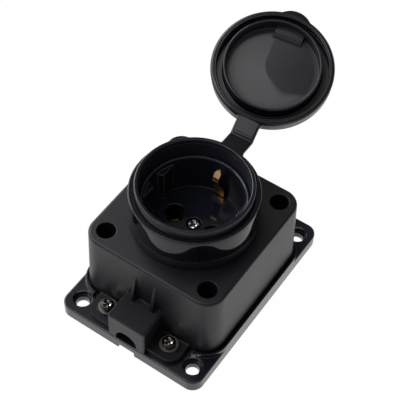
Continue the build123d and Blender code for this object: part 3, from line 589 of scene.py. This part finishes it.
def carrier_finish(looks):
    """Plain dark grey moulding under the recess floor."""
    f = Finish("carrier_moulding")
    where = f.place()
    grain = f.noise(where, 1800.0, 2.0)
    cloud = f.noise(where, 130.0, 2.0)
    tone = f.mix(cloud, lift(looks.shell, 2.2), lift(looks.shell, 3.0))
    normal = f.bump(grain, 0.15, 0.05 * MM)
    return f.surface({}, {"Base Color": tone, "Roughness": 0.45 + (grain - 0.5) * 0.2, "Normal": normal})


def seal_finish(looks):
    """Matte soft seal."""
    f = Finish("soft_seal")
    where = f.place()
    pores = f.noise(where, 2600.0, 2.0, 0.7)
    tone = f.mix(pores, lift(looks.rubber, 1.2), lift(looks.rubber, 2.4))
    normal = f.bump(pores, 0.3, 0.08 * MM)
    return f.surface({}, {"Base Color": tone, "Roughness": 0.6 + (pores - 0.5) * 0.2, "Normal": normal})


def dress(material, *starts):
    """Gives a material to each node whose name starts with one of the words."""
    found = [o for name, o in NODES.items() if name.startswith(starts)]
    if not found:
        raise RuntimeError(f"no node starts with {starts}")
    for piece in found:
        piece.data.materials.clear()
        piece.data.materials.append(material)


def soften(corners, steps=5):
    """Rounds an outline's corners, each given as radius, height and rounding in millimetres."""
    out = []
    for i, (r, z, rounding) in enumerate(corners):
        if rounding == 0:
            out.append((r, z))
            continue
        radius = rounding * MM
        here = Vector((r, z))
        back = (Vector(corners[i - 1][:2]) - here).normalized()
        ahead = (Vector(corners[(i + 1) % len(corners)][:2]) - here).normalized()
        half = math.acos(max(-1.0, min(1.0, back.dot(ahead)))) / 2
        reach = radius / math.tan(half)
        middle = here + (back + ahead).normalized() * radius / math.sin(half)
        start, end = here + back * reach - middle, here + ahead * reach - middle
        sweep = math.pi - 2 * half
        for k in range(steps + 1):
            t = k / steps
            arm = (start * math.sin((1 - t) * sweep) + end * math.sin(t * sweep)) / math.sin(sweep)
            out.append(tuple(middle + arm))
    return out


def lathe(mesh, outline, shape, closed):
    """Turns an outline about Z; shape moves each point by its angle, radius and height."""
    rings = []
    for r, z in outline:
        if r == 0:
            rings.append([mesh.verts.new((0.0, 0.0, z))])
            continue
        ring = []
        for k in range(SEGMENTS):
            angle = 2 * math.pi * k / SEGMENTS
            radius, height = shape(angle, r, z)
            ring.append(mesh.verts.new((radius * math.cos(angle), radius * math.sin(angle), height)))
        rings.append(ring)
    pairs = list(zip(rings, rings[1:]))
    if closed:
        pairs.append((rings[-1], rings[0]))
    for low, high in pairs:
        for k in range(SEGMENTS):
            n = (k + 1) % SEGMENTS
            if len(low) == 1:
                mesh.faces.new((low[0], high[n], high[k]))
            elif len(high) == 1:
                mesh.faces.new((low[k], low[n], high[0]))
            else:
                mesh.faces.new((low[k], low[n], high[n], high[k]))


def skin_rows(mesh, rows):
    """Closes a tube over rows of points, with a face at each end."""
    for low, high in zip(rows, rows[1:]):
        for k in range(len(low)):
            n = (k + 1) % len(low)
            mesh.faces.new((low[k], low[n], high[n], high[k]))
    mesh.faces.new(rows[0])
    mesh.faces.new(rows[-1])


def finish_piece(mesh, name, material, sharp_degrees):
    """Makes a rubber piece of a finished mesh, smooth apart from its sharp edges."""
    bmesh.ops.recalc_face_normals(mesh, faces=mesh.faces)
    data = bpy.data.meshes.new(name)
    mesh.to_mesh(data)
    mesh.free()
    data.shade_smooth()
    data.set_sharp_from_angle(angle=math.radians(sharp_degrees))
    data.materials.append(material)
    piece = bpy.data.objects.new(name, data)
    bpy.context.scene.collection.objects.link(piece)
    return piece


def lobe(angle, middle, wall_r, reach, radius):
    """How far a round lobe stands out of a round wall at an angle."""
    away = (angle - middle + math.pi) % (2 * math.pi) - math.pi
    centre = wall_r + reach - radius
    side = centre * math.sin(away)
    if math.cos(away) < 0 or abs(side) >= radius:
        return 0.0
    return max(0.0, centre * math.cos(away) + math.sqrt(radius**2 - side**2) - wall_r)


def fade(value, low, high):
    """Smooth step from nought to one."""
    t = max(0.0, min(1.0, (value - low) / (high - low)))
    return t * t * (3 - 2 * t)


def build_pad(mesh, s):
    """Pad between the lid's inner floor and the seal ring, with a rounded free edge."""
    back_r = (s.seal_bore + s.seal_r) / 2
    straight = s.pad_height - s.pad_round
    levels = [(s.pad_sunk, 0.0), (-straight, 0.0)]
    for degrees in range(12, 91, 13):
        angle = math.radians(degrees)
        levels.append((-straight - s.pad_round * math.sin(angle), s.pad_round * (1 - math.cos(angle))))
    steps = 12
    rings = []
    for rise, inset in levels:
        half = s.pad_length / 2 - min(inset, s.pad_end_round)
        xs = [s.pad_shift + half * (2 * k / steps - 1) for k in range(steps + 1)]
        ring = [(x, -s.pad_front - inset) for x in xs]
        ring += [(x, -math.sqrt(back_r**2 - x**2)) for x in reversed(xs)]
        rings.append([mesh.verts.new((x, y, s.floor + rise)) for x, y in ring])
    skin_rows(mesh, rings)


def open_turn():
    """Turn that carries the shut lid to its open pose."""
    spin = Matrix.Rotation(-SHUT_TURN, 4, HINGE_AXIS)
    return Matrix.Translation(HINGE_POINT) @ spin @ Matrix.Translation(-HINGE_POINT)


def lid_outline(s):
    """Half section of the shut lid, from the middle of its inner floor to the middle of its outer face."""
    line_r = s.bead_bore + s.line_inset
    bead_end = s.skirt_end + s.bead_step
    corners = [(r * MM, s.floor - sink * MM, 0) for r, sink in FLOOR_CROWN]
    corners += [
        (s.seal_bore, s.floor, 0.6),
        (s.seal_bore, s.seal_end, 0.5),
        (s.seal_r, s.seal_end, 0.5),
        (s.seal_r + s.wall_draft, s.channel, 0.5),
        (s.skirt_bore - s.wall_draft, s.channel, 0.5),
        (s.skirt_bore, s.bead_top, 0),
        (s.bead_bore, s.bead_top, 0.2),
        (s.bead_bore, bead_end, 0.4),
        (line_r - s.line_half, bead_end, 0),
        (line_r, bead_end + s.line_depth, 0),
        (line_r + s.line_half, bead_end, 0),
        (s.skirt_bore + s.bead_rise, s.skirt_end, 0),
        (s.skirt_r, s.skirt_end, 1.4),
    ]
    corners += [(s.skirt_r - inset * MM, s.skirt_end + rise * MM, 0) for rise, inset in SKIRT_FACE]
    corners += [(s.skirt_r - s.top_inset, s.top, 2.2), (s.top_ring, s.top, 0), (0.0, s.top, 0)]
    return soften(corners)


def build_lid(s, material):
    """Rubber lid with skirt, snap bead, seal ring, channel, inner pad and grip tab."""
    tab_foot = s.skirt_r - s.tab_fade
    tab_top = s.skirt_end + s.tab_height

    def shape(angle, r, z):
        if r < tab_foot:
            return r, z
        reach = lobe(angle, s.tab_place, s.skirt_r, s.tab_reach, s.tab_r)
        reach *= 1 - fade(z, tab_top, tab_top + s.tab_fade)
        return r + reach * fade(r, tab_foot, s.skirt_r - s.tab_fade / 3), z

    mesh = bmesh.new()
    lathe(mesh, lid_outline(s), shape, False)
    build_pad(mesh, s)
    bmesh.ops.transform(mesh, matrix=open_turn(), verts=mesh.verts)
    lid = finish_piece(mesh, "rubber_lid", material, 40)
    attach(lid, "lid_body")
    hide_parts("cap_lid")


def build_sleeve(s, material):
    """Rubber sleeve around the collar, with its side lobe and straight foot."""
    height = s.top - s.base
    wide = s.radius + s.draft
    corners = [(s.bore, s.base, 0), (wide, s.base, 0.2), (wide, s.base + s.foot, 0)]
    corners += [(s.radius + s.draft * d * MM / height, s.top - d * MM, 0) for d in SLEEVE_RINGS]
    corners += [(s.radius, s.top, 0.5), (s.bore, s.top, 0.2)]
    skin = s.bore + s.bump_skin
    bump_end = s.top - s.bump_drop

    def shape(angle, r, z):
        reach = lobe(angle, s.bump_place, s.radius, s.bump_reach, s.bump_r)
        reach *= fade(r, skin, skin + s.bump_fade)
        return r + reach * fade(z, bump_end, bump_end + s.bump_fade), z

    mesh = bmesh.new()
    lathe(mesh, soften(corners), shape, True)
    sleeve = finish_piece(mesh, "rubber_sleeve", material, 40)
    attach(sleeve, "socket_body")
    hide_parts("cap_sleeve")


def hump(value, middle, width):
    """Bell curve with a height of one."""
    return math.exp(-((value - middle) / width) ** 2)


def swollen(value, power):
    """A sine or cosine pressed towards a box shape."""
    return math.copysign(abs(value) ** power, value)


def build_strap(s, lid_sizes, material):
    """Strap from sleeve to lid, which bends at the hinge line."""
    along = HINGE_AXIS
    up = (UP - along * UP.dot(along)).normalized()
    out = up.cross(along)
    start = s.radius - HINGE_POINT.y - s.sunk_in_sleeve
    end = HINGE_POINT.y - lid_sizes.skirt_r + s.sunk_in_lid
    bend = math.pi - SHUT_TURN
    slant = along.y / along.x
    steps, around = 48, 32
    mesh = bmesh.new()
    rows = []
    for i in range(steps + 1):
        run = start + (end - start) * i / steps
        angle = bend * fade(run, -s.bend_half, s.bend_half)
        roots = fade(-run, -start - s.flare_length, -start) + fade(run, end - s.flare_length, end)
        half_width = s.strap_width / 2 + s.flare * roots
        crease = 0.3 * hump(run, -0.3 * MM, 0.55 * MM)
        ridge = 0.2 * hump(run, 1.1 * MM, 0.6 * MM)
        row = []
        for k in range(around):
            across = math.cos(2 * math.pi * k / around)
            above = math.sin(2 * math.pi * k / around)
            wide = half_width * swollen(across, 0.16)
            swell = 1 - crease + (ridge if above > 0 else 0.0)
            rise = s.strap_thickness / 2 * swell * swollen(above, 0.5) - s.strap_drop
            y = run * math.cos(angle) - rise * math.sin(angle)
            z = run * math.sin(angle) + rise * math.cos(angle)
            row.append(mesh.verts.new(HINGE_POINT + along * (wide - slant * abs(run)) + out * y + up * z))
        rows.append(row)
    skin_rows(mesh, rows)
    strap = finish_piece(mesh, "rubber_strap", material, 60)
    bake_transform(strap)


def build_floor(settings):
    """Pale floor that reads as white and keeps a faint shadow."""
    f = Finish("white_floor")
    rays = ("Is Camera Ray", "Is Glossy Ray", "Is Transmission Ray")
    seen = [f.node("ShaderNodeLightPath", {}, {}, ray) for ray in rays]
    plain = (seen[0] + seen[1] + seen[2]).limit() * settings.floor_glow
    cloth = f.node("ShaderNodeBsdfDiffuse", {}, {"Color": (0.9, 0.9, 0.9, 1.0)})
    glow = f.node("ShaderNodeEmission", {}, {"Color": (1.0, 1.0, 1.0, 1.0), "Strength": 1.0})
    both = f.node("ShaderNodeMixShader", {}, {0: plain, 1: cloth, 2: glow})
    f.node("ShaderNodeOutputMaterial", {}, {"Surface": both})
    mesh = bmesh.new()
    bmesh.ops.create_grid(mesh, x_segments=8, y_segments=8, size=settings.floor_half)
    data = bpy.data.meshes.new("floor")
    mesh.to_mesh(data)
    mesh.free()
    data.materials.append(f.material)
    floor = bpy.data.objects.new("floor", data)
    bpy.context.scene.collection.objects.link(floor)
    floor.location.z = CAD_BOX[0][2] - settings.floor_gap


def build_sky(settings):
    """Grey surround that falls off towards the back."""
    world = bpy.data.worlds.new("surround")
    bpy.context.scene.world = world
    world.use_nodes = True
    tree = world.node_tree
    tree.nodes.clear()
    way = tree.nodes.new("ShaderNodeTexCoord")
    split = tree.nodes.new("ShaderNodeSeparateXYZ")
    fall = tree.nodes.new("ShaderNodeMapRange")
    for key, value in (("From Min", 0.05), ("From Max", 0.5), ("To Min", 1.0), ("To Max", 0.6)):
        fall.inputs[key].default_value = value
    shade = tree.nodes.new("ShaderNodeBackground")
    shade.inputs["Strength"].default_value = settings.sky
    tree.links.new(way.outputs["Generated"], split.inputs[0])
    tree.links.new(split.outputs["Y"], fall.inputs["Value"])
    tree.links.new(fall.outputs[0], shade.inputs["Color"])
    out = tree.nodes.new("ShaderNodeOutputWorld")
    tree.links.new(shade.outputs[0], out.inputs["Surface"])


# Name, place, aim and size in metres, and power in watts of each soft lamp
LAMPS = (
    ("top_box", (-0.205, 0.02, 1.05), (-0.205, 0.02, 0.0), (0.34, 0.72), 1.3),
    ("left_strip", (-0.85, -0.55, 0.72), (0.0, 0.0, 0.06), (0.3, 0.9), 2.8),
    ("left_box", (-1.0, 0.1, 0.8), (0.0, 0.0, 0.05), (0.9, 0.9), 6.8),
    ("left_back_box", (-0.95, 0.5, 0.72), (0.0, 0.0, 0.05), (0.5, 0.5), 3.8),
    ("left_front_box", (-0.5, -0.6, 1.1), (0.0, 0.0, 0.05), (0.4, 0.4), 3.0),
    ("left_low_box", (-1.2, -0.1, 0.4), (0.0, 0.0, 0.04), (0.8, 0.4), 4.0),
)


def softbox(name, place, aim, size, power):
    """Rectangular soft lamp."""
    data = bpy.data.lights.new(name, "AREA")
    data.shape = "RECTANGLE"
    data.size, data.size_y = size
    data.energy = power
    lamp = bpy.data.objects.new(name, data)
    bpy.context.scene.collection.objects.link(lamp)
    lamp.location = place
    lamp.rotation_euler = (Vector(aim) - Vector(place)).to_track_quat("-Z", "Y").to_euler()


def build_camera(s):
    """Camera at the photograph's viewing angle."""
    az, el, roll = s.azimuth, s.elevation, s.roll
    back = Vector((math.sin(az) * math.cos(el), -math.cos(az) * math.cos(el), math.sin(el)))
    level = Vector((math.cos(az), math.sin(az), 0.0))
    upright = back.cross(level)
    right = math.cos(roll) * level + math.sin(roll) * upright
    up = math.cos(roll) * upright - math.sin(roll) * level
    data = bpy.data.cameras.new("camera")
    data.sensor_width = s.sensor
    data.lens = s.lens
    data.shift_x = s.shift_x
    data.shift_y = s.shift_y
    data.clip_start = 0.01
    camera = bpy.data.objects.new("camera", data)
    bpy.context.scene.collection.objects.link(camera)
    pose = Matrix((right, up, back)).transposed().to_4x4()
    pose.translation = Vector((0, 0, s.target)) + back * s.distance
    camera.matrix_world = pose
    bpy.context.scene.camera = camera


class SOCKET_OT_shell(bpy.types.Operator):
    """Dress the grained box, and the smooth plate, collar and insert"""
    bl_idname = "socket.shell"
    bl_label = "Shell"

    def execute(self, context):
        looks = context.scene.socket_finishes
        places = context.scene.socket_places
        neck = (places.neck_foot, places.parting)
        worn = (places.pads_foot, places.pads_top)
        dress(shell_finish(looks, places), "housing")
        dress(gloss_finish(looks, "gloss_plate", looks.recess, 0.06, 0.0, shine=1.52), "base_plate")
        dress(gloss_finish(looks, "gloss_collar", looks.gloss, 0.02, 0.35, neck=neck), "collar")
        dress(gloss_finish(looks, "gloss_recess", looks.recess, 0.0, 0.2, worn=worn), "socket_insert")
        return {"FINISHED"}


class SOCKET_OT_cap(bpy.types.Operator):
    """Build the rubber sleeve, strap and lid"""
    bl_idname = "socket.cap"
    bl_label = "Rubber cap"

    def execute(self, context):
        scene = context.scene
        looks = scene.socket_finishes
        sleeve, lid = scene.socket_sleeve, scene.socket_lid
        satin_level = looks.rubber_roughness
        # Painted highlights: a pale line at the sleeve's seam and one under its top edge.
        seam = (sleeve.base + 0.25 * MM, 0.3 * MM, 0.7)
        rim = (sleeve.top - 0.2 * MM, 0.3 * MM, 0.3)
        smooth = rubber_finish(looks, "rubber_smooth", satin_level * 0.35, 0.2, (seam, rim), shine=1.37)
        satin = rubber_finish(looks, "rubber_satin", satin_level, 0.8)
        lid_satin = rubber_finish(looks, "rubber_lid_satin", satin_level, 0.8, lid=lid)
        build_sleeve(sleeve, smooth)
        build_strap(sleeve, lid, satin)
        build_lid(lid, lid_satin)
        return {"FINISHED"}


class SOCKET_OT_metal(bpy.types.Operator):
    """Dress the screws, washers, contacts and threaded inserts"""
    bl_idname = "socket.metal"
    bl_label = "Metal"

    def execute(self, context):
        looks = context.scene.socket_finishes
        places = context.scene.socket_places
        bright = steel_finish(looks, "plated_steel_bright", 1.0, 0.12, 0.29)
        dress(bright, "centre_screw", "corner_screw", "insert_screw")
        dress(bright, "live_terminal", "neutral_terminal", "earth_terminal")
        # Ear screws and washers are half as bright as the other steel, as painted shade.
        dress(steel_finish(looks, "plated_steel_shaded", 0.5, 0.12, 0.22), "ear_screw")
        dress(steel_finish(looks, "plated_steel_dull_shaded", 0.5, 0.3, 0.0), "ear_washer")
        dress(brass_finish(looks, places), "earth_bracket", "corner_insert", "ear_insert")
        dress(contact_finish(looks), "live_contact", "neutral_contact")
        return {"FINISHED"}


class SOCKET_OT_inside(bpy.types.Operator):
    """Dress the contact carrier and the flat seals"""
    bl_idname = "socket.inside"
    bl_label = "Inside"

    def execute(self, context):
        looks = context.scene.socket_finishes
        dress(carrier_finish(looks), "contact_carrier")
        dress(seal_finish(looks), "base_gasket", "collar_gasket", "insert_gasket")
        return {"FINISHED"}


class SOCKET_OT_stage(bpy.types.Operator):
    """Set the floor, the light and the camera"""
    bl_idname = "socket.stage"
    bl_label = "Stage"

    def execute(self, context):
        settings = context.scene.socket_stage
        context.scene.view_settings.view_transform = "Standard"
        build_floor(settings)
        build_sky(settings)
        for name, place, aim, size, power in LAMPS:
            softbox(name, place, aim, size, power)
        build_camera(settings)
        return {"FINISHED"}


class SOCKET_PT_panel(bpy.types.Panel):
    """Lists the socket's operators"""
    bl_idname = "SOCKET_PT_panel"
    bl_label = "Weatherproof socket"
    bl_space_type = "VIEW_3D"
    bl_region_type = "UI"
    bl_category = "Socket"

    def draw(self, context):
        for operator in OPERATORS:
            self.layout.operator(operator.bl_idname)


GROUPS = {
    "socket_lid": LidSizes,
    "socket_sleeve": SleeveSizes,
    "socket_finishes": Finishes,
    "socket_places": FinishAndLightPlaces,
    "socket_stage": StageSettings,
}
OPERATORS = (SOCKET_OT_shell, SOCKET_OT_cap, SOCKET_OT_metal, SOCKET_OT_inside, SOCKET_OT_stage)
CLASSES = (*GROUPS.values(), *OPERATORS, SOCKET_PT_panel)


def register():
    for one in CLASSES:
        bpy.utils.register_class(one)
    for name, group in GROUPS.items():
        setattr(bpy.types.Scene, name, PointerProperty(type=group))


def unregister():
    for name in GROUPS:
        delattr(bpy.types.Scene, name)
    for one in reversed(CLASSES):
        bpy.utils.unregister_class(one)


def main():
    register()
    bpy.ops.socket.shell()
    bpy.ops.socket.cap()
    bpy.ops.socket.metal()
    bpy.ops.socket.inside()
    bpy.ops.socket.stage()


if __name__ == "__main__":
    main()
